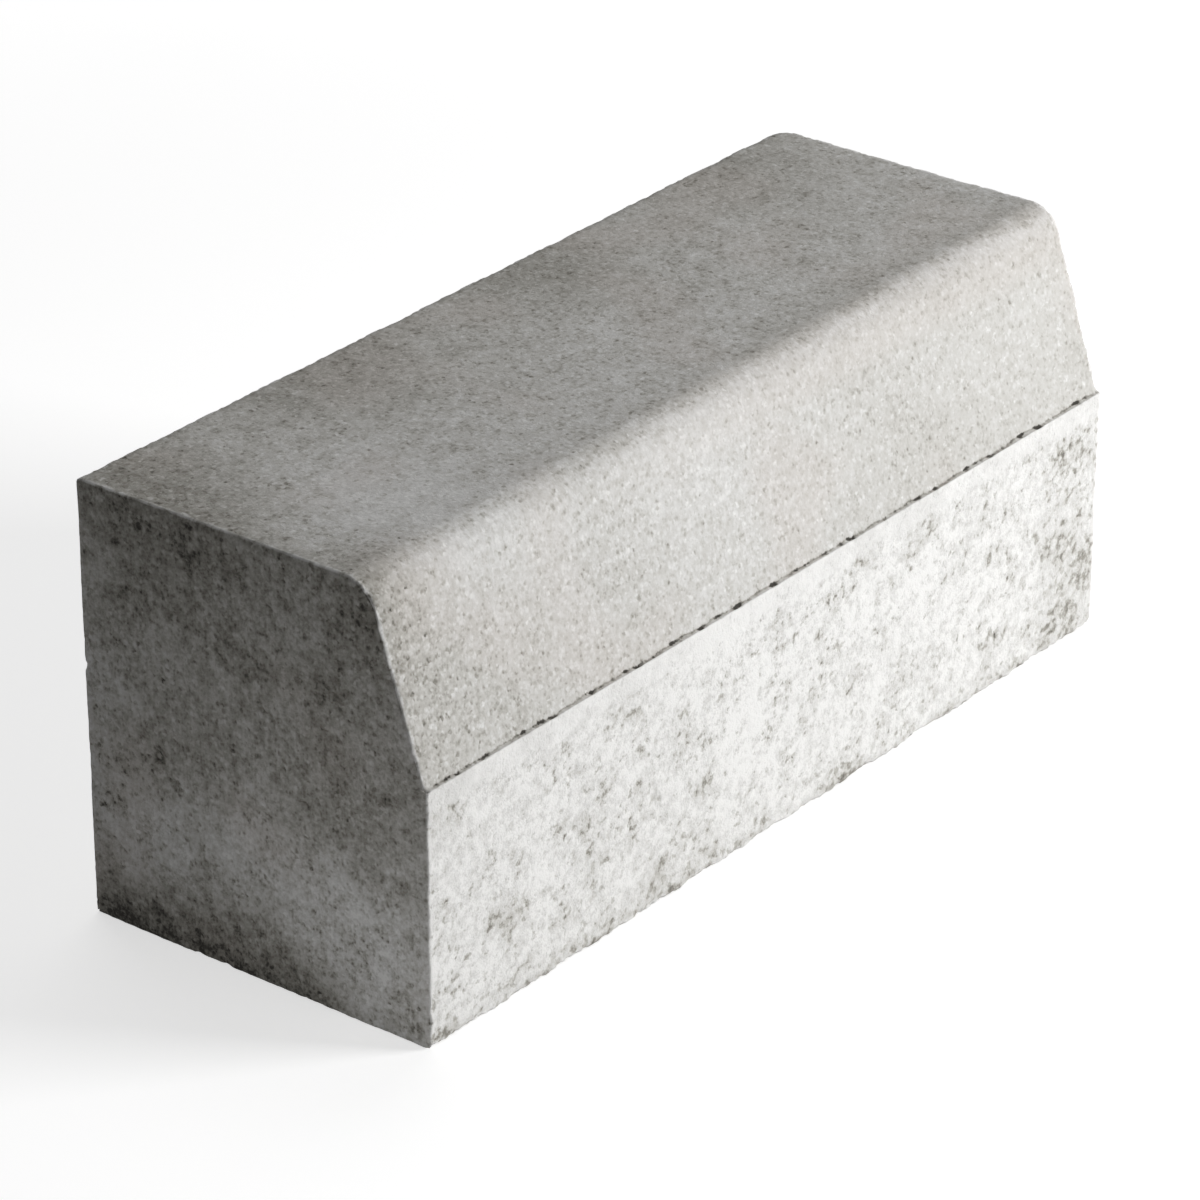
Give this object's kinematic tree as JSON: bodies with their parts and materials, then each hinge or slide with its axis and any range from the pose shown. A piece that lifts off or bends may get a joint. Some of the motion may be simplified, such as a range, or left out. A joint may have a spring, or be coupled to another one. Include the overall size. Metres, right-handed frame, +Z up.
{
  "type": "concrete kerb stone",
  "caption": "Concrete kerb stone with an upright lower face, a seam, a leaning batter above it and a rounded top arris, for edging a road or path.",
  "frame": {"origin": "middle of the bed, the flat underside that the stone lies on", "axes": "+X along the stone's length, -Y out of the road face, +Y out of the back, +Z up"},
  "size_m": [0.5, 0.19, 0.21],
  "materials": {
    "concrete": "matte cast concrete: fine and lightly pitted above the seam, coarse and mottled below it"
  },
  "bodies": {
    "root": {"kerb_stone": "concrete"}
  },
  "joints": []
}
